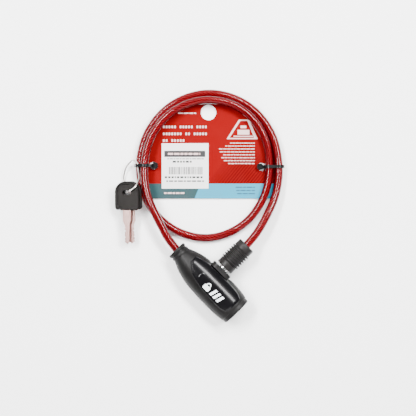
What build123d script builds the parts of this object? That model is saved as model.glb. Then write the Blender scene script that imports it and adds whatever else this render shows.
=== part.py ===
from build123d import *
from math import cos, pi, radians, sin, tan
import os

# A keyed cable luggage lock on its hang card, lying flat.
# Units are millimetres. +Z is up from the surface, +Y is towards the card's hang hole.

# ---- Placing ----
COIL_CENTRE = Vector(7.8, 34.3, 0)
LOCK_START = Vector(-26.6, -66.6, 0)
LOCK_ANGLE = -45.8

# ---- Lock housing, along its own axis from the cable end ----
HOUSING_LENGTH = 66.0
HOUSING_NECK_R = 7.5
HOUSING_HALF_WIDTH = 14.2
HOUSING_HALF_HEIGHT = 12.3
HOUSING_END_HALF_WIDTH = 12.9
HOUSING_END_HALF_HEIGHT = 11.2
NECK_AT = 6.0
FIT = 0.1
PANEL_HALF_WIDTH = 8.6
PANEL_START = 14.0
PANEL_END = 64.0
PANEL_RISE = 0.55
PANEL_SEAT = 1.0
SCREW_SPOTS = ((24.0, -8.6), (24.0, 8.6))
SCREW_R = 1.2
SCREW_HEAD_R = 2.2
SCREW_HEAD_THICKNESS = 1.8
SCREW_SLOT = (3.2, 0.6, 1.4)
SCREW_TOP = 5.0
SCREW_HEAD_AT = -5.2

# ---- Cable ----
CABLE_R = 3.2
ROPE_R = 2.35
CABLE_STOP_AT = 9.0
FERRULE_R = 4.6
FERRULE_LENGTH = 17.0

# ---- Gland collar ----
COLLAR_R = 7.95
COLLAR_STEP_R = 7.1
COLLAR_LENGTHS = (2.4, 1.4, 2.2)

# ---- Lock core, plug, cam and bolt ----
CORE_R = 8.8
CORE_START = 29.5
PLUG_R = 6.0
PLUG_START = 50.0
PLUG_FACE_R = 5.6
RUNNING = 0.06
KEYWAY_WIDTH = 2.2
KEYWAY_HEIGHT = 7.6
KEYWAY_DEPTH = 18.0
WAFER_COUNT = 6
WAFER_THICKNESS = 1.0
WAFER_PITCH = 2.4
WAFER_WIDTH = 6.4
WAFER_HEIGHT = 9.6
PLUG_OUT = 3.0
CAM_SCREW_R = 1.0
CAM_SCREW_AT = (-2.4, -2.4)
CAM_THICKNESS = 2.4
STUD_R = 1.2
STUD_LENGTH = 2.6
CRANK_R = 2.6
CRANK_HALF_TURN = 45.0
BOLT_THICKNESS = 3.2
BOLT_WIDTH = 9.0
BOLT_ABOVE = 3.6
BOLT_BELOW = 6.0
BOLT_FINGER = 2.0
BOLT_FINGER_WIDTH = 3.0
BOLT_PLAY = 0.2

# ---- Shackle pin and connector ----
PIN_AT = 36.9
PIN_R = 3.9
PIN_GROOVE_R = 2.6
PIN_DEPTH = 7.0
PIN_TIP = 1.0
PIN_CLEARANCE = 0.3
SLEEVE_NOSE = 3.0
SLEEVE_THROAT = 5.0
PRESSED = 0.03
PORT_HALF_LENGTH = 9.2
PORT_COLLAR_HALF_WIDTH = 7.4
PORT_COLLAR_TOP = 15.8
SLEEVE_START = 17.5
SLEEVE_LENGTH = 25.3
SLEEVE_BAND_R = 7.5
SLEEVE_CORE_R = 6.7
SLEEVE_RIB_R = 8.5
SLEEVE_BANDS = (5.6, 6.0)
RIB_COUNT = 6
RIB_SHARE = 0.52
CRIMP_R = 5.0

# ---- Hang card and ties ----
CARD_R = 56.0
CARD_THICKNESS = 0.5
CARD_BOTTOM = 1.35
CARD_FLAT_EDGE = -26.0
HANG_HOLE = (-0.8, 43.2)
HANG_HOLE_R = 6.2
EYELET_R = 3.2
EYELET_LEFT = (-44.8, 0.4)
EYELET_RIGHT = (41.6, -0.4)
STICKER_SIZE = (37.6, 36.4)
STICKER_CENTRE = (-19.6, 0.2)
STICKER_THICKNESS = 0.12
TIE_WIDTH = 2.4
TIE_THICKNESS = 0.95
TIE_CLEARANCE = 0.15
TIE_HEAD = (4.4, 4.6, 3.6)

# ---- Keys and ring ----
RING_WIRE_R = 0.55
KEY_HEAD_WIDTH = 20.0
KEY_HEAD_THICKNESS = 3.0
KEY_HEAD_TOP = 8.8
KEY_HEAD_BOTTOM = -14.2
KEY_DOME_R = 8.6
KEY_CORNER_R = 2.8
KEY_SCALLOP_AT = 5.8
KEY_SCALLOP_R = 1.3
KEY_CHAMFER = 0.6
KEY_SLOT = (7.6, 3.6)
KEY_BLADE_THICKNESS = 1.9
KEY_SHOULDER_WIDTH = 6.8
KEY_TIP_WIDTH = 4.4
KEY_SHOULDER_END = -23.0
KEY_TIP = -41.0
KEY_GAP = 0.35
KEY_HOLE = (-64.0, -21.0)
REAR_KEY_HEIGHT = 10.0
KEY_ROLL = 16.0
KEY_PITCH = 4.0
REAR_KEY_TURN = 2.5
FRONT_KEY_TURN = -1.0
FRONT_KEY_SHIFT = 0.8

# Worked out from the values above.
AXIS_HEIGHT = HOUSING_HALF_HEIGHT + 0.05
CARD_TOP = CARD_BOTTOM + CARD_THICKNESS
CORE_END = HOUSING_LENGTH - 0.3
SLEEVE_END = SLEEVE_START + SLEEVE_LENGTH
LOCK_PLACE = Location(
    (COIL_CENTRE.X + LOCK_START.X, COIL_CENTRE.Y + LOCK_START.Y, AXIS_HEIGHT),
    (0, 0, LOCK_ANGLE),
)
CAM_END = PLUG_START
CAM_START = CAM_END - CAM_THICKNESS
CAM_R = PLUG_R - 0.8
SCREW_MOUTH_AT = -HOUSING_HALF_HEIGHT - 1
COLLAR_SEAT_V = HOUSING_HALF_WIDTH - 2.2
PLUG_END = HOUSING_LENGTH + PLUG_OUT
BOLT_TOP_FACE = CAM_START - BOLT_PLAY
BOLT_FRONT_FACE = BOLT_TOP_FACE - BOLT_THICKNESS
BOLT_TRAVEL = 2 * CRANK_R * sin(radians(CRANK_HALF_TURN))

parts = {}


def at_coil(x, y, z=0.0):
    """A point given from the coil's centre, in the part's frame."""
    return Vector(COIL_CENTRE.X + x, COIL_CENTRE.Y + y, z)


def rod(start, end, radius):
    """A cylinder along the lock's axis from start to end."""
    return Plane(origin=(start, 0, 0), z_dir=(1, 0, 0)) * Cylinder(
        radius, end - start, align=(Align.CENTER, Align.CENTER, Align.MIN)
    )


def cross_rod(at, start, end, radius):
    """A cylinder along the pin's axis, which crosses the lock's axis."""
    return Plane(origin=(at, start, 0), z_dir=(0, 1, 0)) * Cylinder(
        radius, end - start, align=(Align.CENTER, Align.CENTER, Align.MIN)
    )


def block(low, high):
    """A box between two corners."""
    size = [b - a for a, b in zip(low, high)]
    middle = [(a + b) / 2 for a, b in zip(low, high)]
    return Pos(*middle) * Box(*size)


def in_lock(shape):
    """Moves a piece from the lock's own axes to its place."""
    return LOCK_PLACE * shape


# ---- Housing ----
def housing_body(grow=0.0):
    """The housing's whole outer shape, lofted through ovals."""
    stations = (
        (NECK_AT, HOUSING_NECK_R, HOUSING_NECK_R),
        (15.0, 0.79 * HOUSING_HALF_WIDTH, 0.8 * HOUSING_HALF_HEIGHT),
        (27.0, 0.95 * HOUSING_HALF_WIDTH, 0.95 * HOUSING_HALF_HEIGHT),
        (45.0, HOUSING_HALF_WIDTH, HOUSING_HALF_HEIGHT),
        (57.0, 0.99 * HOUSING_HALF_WIDTH, 0.98 * HOUSING_HALF_HEIGHT),
        (HOUSING_LENGTH, HOUSING_END_HALF_WIDTH, HOUSING_END_HALF_HEIGHT),
    )
    ovals = [
        Plane(origin=(u, 0, 0), x_dir=(0, 1, 0), z_dir=(1, 0, 0)) * Ellipse(w + grow, h + grow)
        for u, w, h in stations
    ]
    return loft(ovals)


def housing_hollow():
    """Everything that is cut out of the two housing halves."""
    hollow = rod(CORE_START - FIT, HOUSING_LENGTH + 1, CORE_R + FIT)
    hollow += rod(CABLE_STOP_AT - FIT, CABLE_STOP_AT + FERRULE_LENGTH + FIT, FERRULE_R + FIT)
    hollow += rod(NECK_AT - 1, CABLE_STOP_AT, CABLE_R + FIT)
    hollow += cross_rod(PIN_AT, 0, HOUSING_HALF_WIDTH + 3, PIN_R + PIN_CLEARANCE)
    return hollow


outer = housing_body()
collar_seat = block(
    (PIN_AT - PORT_HALF_LENGTH - FIT, COLLAR_SEAT_V, -PORT_COLLAR_HALF_WIDTH - FIT),
    (PIN_AT + PORT_HALF_LENGTH + FIT, HOUSING_HALF_WIDTH + 3, PORT_COLLAR_HALF_WIDTH + FIT),
)
shell = outer - housing_hollow() - collar_seat
upper_side = block((0, -30, 0), (90, 30, 30))
lower_side = block((0, -30, -30), (90, 30, -0.02))

# The front panel is a raised skin over a seat of the same outline.
panel_length = PANEL_END - PANEL_START
panel_outline = Pos((PANEL_START + PANEL_END) / 2, 0, 0) * extrude(
    SlotOverall(panel_length, 2 * PANEL_HALF_WIDTH), 30
)
panel_inner = housing_body(-PANEL_SEAT)
panel = (housing_body(PANEL_RISE) - panel_inner) & panel_outline
front = (shell & upper_side) - (panel_outline - panel_inner)
rear = shell & lower_side
screws = []
for u, v in SCREW_SPOTS:
    shaft = Pos(u, v, SCREW_HEAD_AT) * Cylinder(
        SCREW_R, SCREW_TOP - SCREW_HEAD_AT, align=(Align.CENTER, Align.CENTER, Align.MIN)
    )
    head = Pos(u, v, SCREW_HEAD_AT) * Cylinder(
        SCREW_HEAD_R, SCREW_HEAD_THICKNESS, align=(Align.CENTER, Align.CENTER, Align.MAX)
    )
    slot = Pos(u, v, SCREW_HEAD_AT - SCREW_HEAD_THICKNESS) * Box(*SCREW_SLOT)
    screws.append(shaft + head - slot)
    well = Pos(u, v, SCREW_HEAD_AT) * Cylinder(
        SCREW_HEAD_R + FIT, SCREW_HEAD_AT - SCREW_MOUTH_AT,
        align=(Align.CENTER, Align.CENTER, Align.MAX),
    )
    front -= shaft
    rear -= shaft + well
parts["housing_front"] = in_lock(front)
parts["housing_rear"] = in_lock(rear)
parts["front_panel"] = in_lock(panel)
parts["housing_screws"] = in_lock(Compound(children=screws))

# ---- Gland collar: two steps with a waist between them ----
first, waist, second = COLLAR_LENGTHS
collar = rod(0, first, COLLAR_R) + rod(first, first + waist, COLLAR_STEP_R)
collar += rod(first + waist, sum(COLLAR_LENGTHS), COLLAR_R - 0.2)
collar -= rod(-1, sum(COLLAR_LENGTHS) + 1, CABLE_R + FIT)
parts["gland_collar"] = in_lock(collar)

ferrule = rod(CABLE_STOP_AT, CABLE_STOP_AT + FERRULE_LENGTH, FERRULE_R)
ferrule -= rod(CABLE_STOP_AT - 1, CABLE_STOP_AT + FERRULE_LENGTH - 1.5, ROPE_R + PRESSED)
parts["cable_stop_ferrule"] = in_lock(ferrule)

# ---- Port collar ----
port = block(
    (PIN_AT - PORT_HALF_LENGTH, COLLAR_SEAT_V + FIT, -PORT_COLLAR_HALF_WIDTH),
    (PIN_AT + PORT_HALF_LENGTH, PORT_COLLAR_TOP, PORT_COLLAR_HALF_WIDTH),
)
port = fillet(port.edges().filter_by(Axis.Y), 4.5)
port = fillet(port.faces().sort_by(Axis.Y)[-1].edges(), 0.7)
port -= cross_rod(PIN_AT, 0, PORT_COLLAR_TOP + 1, PIN_R + PIN_CLEARANCE)
parts["port_collar"] = in_lock(port)

# ---- End cap ----
cap = Plane(origin=(HOUSING_LENGTH, 0, 0), x_dir=(0, 1, 0), z_dir=(1, 0, 0)) * extrude(
    Ellipse(HOUSING_END_HALF_WIDTH - 0.5, HOUSING_END_HALF_HEIGHT - 0.5), 3.6
)
cap = fillet(cap.faces().sort_by(Axis.X)[-1].edges(), 1.2)
cap -= rod(HOUSING_LENGTH - 1, HOUSING_LENGTH + 5, PLUG_FACE_R + 0.3)
parts["end_cap"] = in_lock(cap)

# ---- Lock core ----
core = rod(CORE_START, CORE_END, CORE_R)
core -= rod(PLUG_START - CAM_THICKNESS - 2 * BOLT_PLAY, CORE_END + 1, PLUG_R + RUNNING)
core -= cross_rod(PIN_AT, -PIN_DEPTH - 0.6, CORE_R + 1, PIN_R + RUNNING)
core -= block(
    (BOLT_FRONT_FACE - BOLT_PLAY, -BOLT_WIDTH / 2 - BOLT_PLAY, -BOLT_BELOW - BOLT_PLAY),
    (PLUG_START - CAM_THICKNESS, BOLT_WIDTH / 2 + BOLT_PLAY, BOLT_ABOVE + BOLT_TRAVEL + BOLT_PLAY),
)
core -= block(
    (PIN_AT, -BOLT_FINGER_WIDTH / 2 - BOLT_PLAY, -BOLT_FINGER / 2 - BOLT_PLAY),
    (BOLT_FRONT_FACE, BOLT_FINGER_WIDTH / 2 + BOLT_PLAY, BOLT_FINGER / 2 + BOLT_TRAVEL + BOLT_PLAY),
)
parts["lock_core"] = in_lock(core)

# ---- Plug, wafers and cam ----
plug = rod(PLUG_START, CORE_END, PLUG_R) + rod(CORE_END, PLUG_END, PLUG_FACE_R)
keyway = block(
    (PLUG_END - KEYWAY_DEPTH, -KEYWAY_WIDTH / 2, -KEYWAY_HEIGHT / 2),
    (PLUG_END + 1, KEYWAY_WIDTH / 2, KEYWAY_HEIGHT / 2),
)
plug -= keyway
wafers = []
springs = []
for number in range(WAFER_COUNT):
    u = PLUG_END - 5.4 - number * WAFER_PITCH
    slot = block(
        (u, -WAFER_WIDTH / 2 - FIT, -WAFER_HEIGHT / 2 - FIT),
        (u + WAFER_THICKNESS + FIT, WAFER_WIDTH / 2 + FIT, WAFER_HEIGHT / 2 + FIT),
    )
    plug -= slot
    wafer = block(
        (u + FIT / 2, -WAFER_WIDTH / 2, -WAFER_HEIGHT / 2),
        (u + FIT / 2 + WAFER_THICKNESS, WAFER_WIDTH / 2, WAFER_HEIGHT / 2),
    )
    window = block((u - 1, -KEYWAY_WIDTH / 2, -2.0), (u + 2, KEYWAY_WIDTH / 2, KEYWAY_HEIGHT / 2))
    spring_notch = block((u - 1, 1.7, -4.0), (u + 2, WAFER_WIDTH / 2 + 1, -0.4))
    wafers.append(wafer - window - spring_notch)
    springs.append(
        Pos(u + FIT / 2 + WAFER_THICKNESS / 2, 2.5, -2.2)
        * Cylinder(0.42, 3.2)
    )
parts["wafers"] = in_lock(Compound(children=wafers))
parts["wafer_springs"] = in_lock(Compound(children=springs))

stud_angle = CRANK_HALF_TURN
stud_v = CRANK_R * cos(radians(stud_angle))
stud_z = CRANK_R * sin(radians(stud_angle))
cam = rod(CAM_START, CAM_END, CAM_R)
cam += Pos(0, stud_v, stud_z) * rod(CAM_START - STUD_LENGTH, CAM_START, STUD_R)
cam_screw = Pos(0, *CAM_SCREW_AT) * rod(CAM_START + 0.6, PLUG_START + 0.9, CAM_SCREW_R)
cam -= cam_screw
parts["lock_cam"] = in_lock(cam)
parts["barrel_plug"] = in_lock(plug - cam_screw)
parts["cam_screw"] = in_lock(cam_screw)

# ---- Locking bolt, drawn clear of the pin ----
bolt = block(
    (BOLT_FRONT_FACE, -BOLT_WIDTH / 2, -BOLT_BELOW), (BOLT_TOP_FACE, BOLT_WIDTH / 2, BOLT_ABOVE)
)
bolt += block(
    (PIN_AT + PIN_GROOVE_R + 0.3, -BOLT_FINGER_WIDTH / 2, -BOLT_FINGER / 2),
    (BOLT_FRONT_FACE, BOLT_FINGER_WIDTH / 2, BOLT_FINGER / 2),
)
# The yoke slot takes the stud, and is long across the bolt's own travel.
stud_rest_z = stud_z - BOLT_TRAVEL
bolt -= block(
    (BOLT_TOP_FACE - STUD_LENGTH - 0.1, stud_v - STUD_R - 0.3, stud_rest_z - STUD_R - BOLT_PLAY),
    (BOLT_TOP_FACE + 1, CRANK_R + STUD_R + 0.3, stud_rest_z + STUD_R + BOLT_PLAY),
)
parts["locking_bolt"] = in_lock(Pos(0, 0, BOLT_TRAVEL) * bolt)

# ---- Shackle pin, crimp and sleeve ----
pin = cross_rod(PIN_AT, -PIN_DEPTH + PIN_TIP, SLEEVE_START + SLEEVE_NOSE, PIN_R)
pin += Plane(origin=(PIN_AT, -PIN_DEPTH + PIN_TIP, 0), z_dir=(0, -1, 0)) * Cone(
    PIN_R, PIN_R - 1.1, PIN_TIP, align=(Align.CENTER, Align.CENTER, Align.MIN)
)
groove_half = BOLT_FINGER_WIDTH / 2 + 0.25
pin -= cross_rod(PIN_AT, -groove_half, groove_half, PIN_R + 1) - cross_rod(
    PIN_AT, -groove_half - 1, groove_half + 1, PIN_GROOVE_R
)
parts["shackle_pin"] = in_lock(pin)

crimp = cross_rod(PIN_AT, SLEEVE_START + SLEEVE_NOSE, SLEEVE_END - SLEEVE_THROAT, CRIMP_R)
crimp -= cross_rod(PIN_AT, SLEEVE_START + SLEEVE_THROAT, SLEEVE_END, ROPE_R + PRESSED)
parts["pin_crimp"] = in_lock(crimp)

near_band, far_band = SLEEVE_BANDS
rib_start = SLEEVE_START + near_band
rib_pitch = (SLEEVE_LENGTH - near_band - far_band) / RIB_COUNT
sleeve = cross_rod(PIN_AT, SLEEVE_START, rib_start, SLEEVE_BAND_R)
sleeve += cross_rod(PIN_AT, rib_start, SLEEVE_END - far_band, SLEEVE_CORE_R)
sleeve += cross_rod(PIN_AT, SLEEVE_END - far_band, SLEEVE_END, SLEEVE_BAND_R)
for number in range(RIB_COUNT):
    middle = rib_start + (number + 0.5) * rib_pitch
    half = RIB_SHARE * rib_pitch / 2
    sleeve += cross_rod(PIN_AT, middle - half, middle + half, SLEEVE_RIB_R)
sleeve -= cross_rod(PIN_AT, SLEEVE_START - 1, SLEEVE_START + SLEEVE_NOSE, PIN_R + PRESSED)
sleeve -= cross_rod(PIN_AT, SLEEVE_START + SLEEVE_NOSE, SLEEVE_END - SLEEVE_THROAT, CRIMP_R + PRESSED)
sleeve -= cross_rod(PIN_AT, SLEEVE_END - SLEEVE_THROAT, SLEEVE_END + 1, CABLE_R + PRESSED)
parts["connector_sleeve"] = in_lock(sleeve)


# ---- Cable route, clockwise from the lock: once round, then again outside ----
def lock_point(u, v):
    """A point on the lock's own axes, in the part's frame."""
    return Vector(*(LOCK_PLACE * Pos(u, v, 0)).position)


def round_coil(turn, radius, underside):
    """A point of the coil, by its turn in degrees clockwise from the top."""
    angle = radians(turn)
    return at_coil(radius * sin(angle), radius * cos(angle), underside + CABLE_R)


# Each row is the turn, the radius and the height of the cable's underside.
INNER_TURN = (
    (221.5, 60.2, 11.4),
    (245.0, 55.6, 9.4),
    (271.0, 53.0, 7.4),
    (300.0, 53.6, 7.0),
    (330.0, 54.5, 6.7),
    (360.0, 54.8, 6.3),
    (390.0, 54.2, 5.6),
    (420.0, 51.6, 4.0),
    (450.0, 49.2, 2.0),
    (480.0, 51.6, 2.5),
    (510.0, 56.0, 0.2),
    (540.0, 59.8, 0.05),
    (570.0, 60.4, 0.05),
    (600.0, 59.4, 2.3),
)
OUTER_TURN = (
    (630.0, 57.6, 1.9),
    (660.0, 58.1, 1.9),
    (690.0, 59.6, 1.9),
    (720.0, 60.4, 1.9),
    (750.0, 59.6, 1.9),
    (780.0, 57.9, 1.9),
    (808.0, 56.6, 1.9),
    (831.0, 58.2, 2.8),
    (849.0, 60.4, 6.4),
)
CABLE_IN_SLEEVE = SLEEVE_END - SLEEVE_THROAT
CABLE_LEAVES_SLEEVE = SLEEVE_END + 8.6
CABLE_LEAVES_GLAND = -6.4

route = [lock_point(CABLE_STOP_AT, 0), lock_point(CABLE_LEAVES_GLAND, 0)]
route += [round_coil(*spot) for spot in INNER_TURN]
route += [round_coil(*spot) for spot in OUTER_TURN]
route += [lock_point(PIN_AT, CABLE_LEAVES_SLEEVE), lock_point(PIN_AT, CABLE_IN_SLEEVE)]


def corner_radii(points, share=0.45):
    """The arc at each corner, as large as its two runs allow."""
    radii = []
    for before, here, after in zip(points, points[1:], points[2:]):
        run = min((here - before).length, (after - here).length)
        half_turn = radians((here - before).get_angle(after - here)) / 2
        radii.append(share * run / tan(half_turn))
    return radii


def stretched(points, start_extra, end_extra):
    """The same route with its two end runs made longer."""
    first_way = (points[0] - points[1]).normalized()
    last_way = (points[-1] - points[-2]).normalized()
    return [points[0] + first_way * start_extra] + points[1:-1] + [
        points[-1] + last_way * end_extra
    ]


def swept(points, radii, radius, bore=0.0):
    """A tube of the given outer radius along straight runs and tangent arcs."""
    path = FilletPolyline(*points, radius=radii)
    section_plane = Plane(origin=path @ 0, z_dir=path % 0)
    section = Circle(radius)
    if bore:
        section -= Circle(bore)
    return sweep(section_plane * section, path=path), path


radii = corner_radii(route)
print("cable radii, mm:", [round(r, 1) for r in radii])
jacket, jacket_path = swept(route, radii, CABLE_R, ROPE_R)
print("jacket length, mm:", round(jacket_path.length, 1))
print("jacket volume to section x length:", round(
    jacket.volume / (pi * (CABLE_R**2 - ROPE_R**2) * jacket_path.length), 4))
parts["cable_jacket"] = jacket
rope_route = stretched(route, FERRULE_LENGTH - 1.6, 14.0)
rope, rope_path = swept(rope_route, radii, ROPE_R - 0.02)
print("rope length, mm:", round(rope_path.length, 1))
parts["cable_rope"] = rope

# ---- Hang card and sticker ----
card = Circle(CARD_R) & Pos(0, CARD_R + CARD_FLAT_EDGE) * Rectangle(4 * CARD_R, 2 * CARD_R)
card -= Pos(*HANG_HOLE) * Circle(HANG_HOLE_R)
card -= Pos(*EYELET_LEFT) * Circle(EYELET_R)
card -= Pos(*EYELET_RIGHT) * Circle(EYELET_R)
parts["hang_card"] = Pos(*at_coil(0, 0, CARD_BOTTOM)) * extrude(card, CARD_THICKNESS)
sticker = Pos(*at_coil(*STICKER_CENTRE, CARD_TOP)) * extrude(
    Rectangle(*STICKER_SIZE), STICKER_THICKNESS
)
parts["price_sticker"] = sticker


# ---- Cable ties: a band round both strands and down through the card's eyelet ----
def crossings(path, y, side):
    """Where the cable crosses a line across the coil, on one side: (x, z, radius to clear)."""
    steps = 1200
    spots = [path.position_at(step / steps) for step in range(steps + 1)]
    found = []
    for here, after in zip(spots, spots[1:]):
        across = (here.Y - COIL_CENTRE.Y - y) * (after.Y - COIL_CENTRE.Y - y) <= 0
        if across and (here.X - COIL_CENTRE.X) * side > 0:
            found.append((here.X - COIL_CENTRE.X, here.Z, CABLE_R + TIE_CLEARANCE))
    return sorted(found, key=lambda spot: abs(spot[0]))


def tie(eyelet_spot, extra=()):
    """A tie's band and head. It goes round the strands there and any extra (x, z, radius)."""
    eyelet, y = eyelet_spot
    strands = crossings(jacket_path, y, 1 if eyelet > 0 else -1)
    outward = -1 if eyelet < 0 else 1
    low = CARD_BOTTOM - 0.1 + 0.4
    corners = [(eyelet - outward * 0.3, low, 0.4), (strands[-1][0] + outward * 1.4, low, 0.4)]
    rounds = list(strands) + list(extra) + corners

    def band_face(thickness):
        rings = [Pos(x, z) * Circle(r + thickness).edge() for x, z, r in rounds]
        return make_face(make_hull(rings).edges())

    band = band_face(TIE_THICKNESS) - band_face(0.0)
    solid = Plane(origin=(0, y + TIE_WIDTH / 2, 0), x_dir=(1, 0, 0), z_dir=(0, -1, 0)) * extrude(
        band, TIE_WIDTH
    )
    head = Pos(eyelet - outward * 1.2, y, CARD_TOP + 0.3 + TIE_HEAD[2] / 2) * Box(*TIE_HEAD)
    head = fillet(head.edges().filter_by(Axis.Z), 1.2)
    return Pos(*at_coil(0, 0, 0)) * (solid + head)


RING_AT_TIE = (-57.3, 9.75, RING_WIRE_R + 0.3)
parts["cable_tie_left"] = tie(EYELET_LEFT, (RING_AT_TIE,))
parts["cable_tie_right"] = tie(EYELET_RIGHT)

# ---- Key ring: a thin wire that leans against the strands and goes through both keys ----
STACK_PITCH = KEY_HEAD_THICKNESS + KEY_GAP
key_tilt = Location((0, 0, 0), (0, -KEY_ROLL, 0)) * Location((0, 0, 0), (KEY_PITCH, 0, 0))
key_low = Location(tuple(at_coil(*KEY_HOLE, REAR_KEY_HEIGHT))) * key_tilt
RING_OVER_KEYS = key_low * Pos(-0.5, 0, STACK_PITCH + 5.0)
RING_UNDER_KEYS = key_low * Pos(-0.1, 0, -5.0)
RING_POINTS = (
    (-61.6, 4.6, 8.0),
    (-57.4, 3.0, 9.3),
    (-57.2, -2.6, 10.1),
    (-55.9, -9.4, 13.6),
    (-58.8, -17.4, 18.6),
    RING_OVER_KEYS,
    RING_UNDER_KEYS,
    (-67.0, -17.4, 2.2),
    (-69.2, -9.0, 2.8),
    (-67.0, -0.6, 4.8),
    (-62.2, 4.4, 7.8),
)
ring_points = [
    spot.position if isinstance(spot, Location) else at_coil(*spot) for spot in RING_POINTS
]
ring_radii = [min(9.0, radius) for radius in corner_radii(ring_points, 0.42)]
print("ring radii, mm:", [round(r, 1) for r in ring_radii])
ring, ring_path = swept(ring_points, ring_radii, RING_WIRE_R)
print("ring wire length, mm:", round(ring_path.length, 1))
parts["key_ring"] = ring


# ---- Keys ----
def key_blade():
    """The flat metal blade, with its cuts on the left and a groove each side."""
    tip = KEY_TIP_WIDTH / 2
    shoulder = KEY_SHOULDER_WIDTH / 2
    outline = Polyline(
        (-shoulder, KEY_HEAD_BOTTOM + 6.0),
        (-shoulder, KEY_SHOULDER_END),
        (-tip + 0.4, KEY_SHOULDER_END - 3.2),
        (-tip + 0.4, KEY_TIP + 1.6),
        (0.4, KEY_TIP),
        (tip, KEY_TIP + 1.6),
        (tip, KEY_SHOULDER_END - 2.0),
        (shoulder, KEY_SHOULDER_END + 1.0),
        (shoulder, KEY_HEAD_BOTTOM + 6.0),
        close=True,
    )
    blade = Pos(0, 0, -KEY_BLADE_THICKNESS / 2) * extrude(
        make_face(outline.edges()), KEY_BLADE_THICKNESS
    )
    depths = (0.8, 1.3, 0.6, 1.1, 0.9)
    for number, depth in enumerate(depths):
        y = KEY_SHOULDER_END - 5.2 - 2.5 * number
        notch = Polyline((-tip - 0.5, y + 1.2), (-tip + depth, y + 0.3), (-tip + depth, y - 0.3),
                         (-tip - 0.5, y - 1.2), close=True)
        blade -= Pos(0, 0, -2) * extrude(make_face(notch.edges()), 4)
    length = KEY_HEAD_BOTTOM - KEY_TIP - 3.0
    for side in (-1, 1):
        groove = Pos(0.5, KEY_TIP + 2.0 + length / 2, side * KEY_BLADE_THICKNESS / 2)
        blade -= groove * Box(0.9, length, 0.7)
    return blade


def key_head():
    """The moulded head: a dome over a scalloped lower edge, with a slot for the ring."""
    low = KEY_HEAD_BOTTOM
    height = KEY_HEAD_TOP - low
    outline = Pos(0, (KEY_HEAD_TOP + low) / 2) * Rectangle(KEY_HEAD_WIDTH, height)
    by_height = outline.vertices().sort_by(Axis.Y)
    outline = fillet(by_height[2:], KEY_DOME_R)
    outline = fillet(outline.vertices().sort_by(Axis.Y)[:2], KEY_CORNER_R)
    head = Pos(0, 0, -KEY_HEAD_THICKNESS / 2) * extrude(outline, KEY_HEAD_THICKNESS)
    head = chamfer(head.faces().filter_by(Axis.Z).edges(), KEY_CHAMFER)
    for side in (-1, 1):
        head -= Pos(side * KEY_SCALLOP_AT, low - 0.4) * Cylinder(KEY_SCALLOP_R, 6)
    head -= Pos(0, 0, -3) * extrude(SlotOverall(*KEY_SLOT), 6)
    tang = block(
        (-KEY_SHOULDER_WIDTH / 2, low - 1, -KEY_BLADE_THICKNESS / 2),
        (KEY_SHOULDER_WIDTH / 2, low + 6.0, KEY_BLADE_THICKNESS / 2),
    )
    return head - tang


blade = key_blade()
head = key_head()
rear_place = key_low * Location((0, 0, 0), (0, 0, REAR_KEY_TURN)) * Location((0, 0, 0), (0, 180, 0))
front_place = key_low * Location((-FRONT_KEY_SHIFT, 0, STACK_PITCH), (0, 0, FRONT_KEY_TURN))
parts["key_front_blade"] = front_place * blade
parts["key_front_head"] = front_place * head
parts["key_rear_blade"] = rear_place * blade
parts["key_rear_head"] = rear_place * head

os.makedirs("parts", exist_ok=True)
for name, solid in parts.items():
    export_step(solid, f"parts/{name}.step")
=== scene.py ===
"""A keyed cable luggage lock on its hang card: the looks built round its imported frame."""
import logging
from dataclasses import dataclass, field
from enum import Enum
from typing import Callable, Sequence

import bmesh
import bpy
import numpy as np
from mathutils import Euler, Matrix, Vector


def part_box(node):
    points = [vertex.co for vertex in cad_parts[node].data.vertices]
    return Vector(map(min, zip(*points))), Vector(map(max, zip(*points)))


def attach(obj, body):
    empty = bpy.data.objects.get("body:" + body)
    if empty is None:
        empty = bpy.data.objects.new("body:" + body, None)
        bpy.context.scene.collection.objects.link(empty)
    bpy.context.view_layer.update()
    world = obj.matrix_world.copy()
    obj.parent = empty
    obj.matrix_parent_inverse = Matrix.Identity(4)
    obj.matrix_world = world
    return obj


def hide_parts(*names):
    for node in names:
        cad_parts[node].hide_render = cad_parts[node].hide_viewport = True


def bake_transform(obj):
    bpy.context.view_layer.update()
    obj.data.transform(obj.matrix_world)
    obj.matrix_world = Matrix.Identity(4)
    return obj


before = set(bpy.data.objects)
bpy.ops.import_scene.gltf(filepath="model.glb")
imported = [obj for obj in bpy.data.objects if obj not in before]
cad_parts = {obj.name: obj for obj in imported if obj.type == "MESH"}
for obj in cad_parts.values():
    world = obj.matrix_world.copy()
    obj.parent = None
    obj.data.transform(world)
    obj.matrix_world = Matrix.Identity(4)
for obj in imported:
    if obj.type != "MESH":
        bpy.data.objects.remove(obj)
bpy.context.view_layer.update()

LOG = logging.getLogger("cable_lock")
MM = 0.001
ROOT = "lock_body"
Array = np.ndarray
Colour = tuple[float, float, float]
Quad = list[tuple[float, float]]

CARD_LOW, CARD_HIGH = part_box("hang_card")
CARD_R = 0.056
COIL = np.array([(CARD_LOW[0] + CARD_HIGH[0]) / 2, CARD_HIGH[1] - CARD_R, 0.0])
CARD_TOP = CARD_HIGH[2]
LOCK_ANGLE = np.radians(-45.8)
LOCK_START = COIL + np.array([-26.6, -66.6, 12.35]) * MM
PIN_AT = 36.9  # along the lock's axis, in mm


def at_coil(x: float, y: float, z: float) -> Array:
    """A point in metres from millimetres about the coil's centre."""
    return COIL + np.array([x, y, z]) * MM


def from_lock(points: Array) -> Array:
    """Points along, across and above the lock's axis, in mm, as points of the row in metres.

    Args:
        points: an array whose last axis holds the three lengths in millimetres.
    Returns:
        The same array turned by the lock's angle and moved to its start.
    """
    c, s = np.cos(LOCK_ANGLE), np.sin(LOCK_ANGLE)
    turn = np.array([[c, s, 0.0], [-s, c, 0.0], [0.0, 0.0, 1.0]])
    return LOCK_START + (np.asarray(points, float) * MM) @ turn


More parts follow.
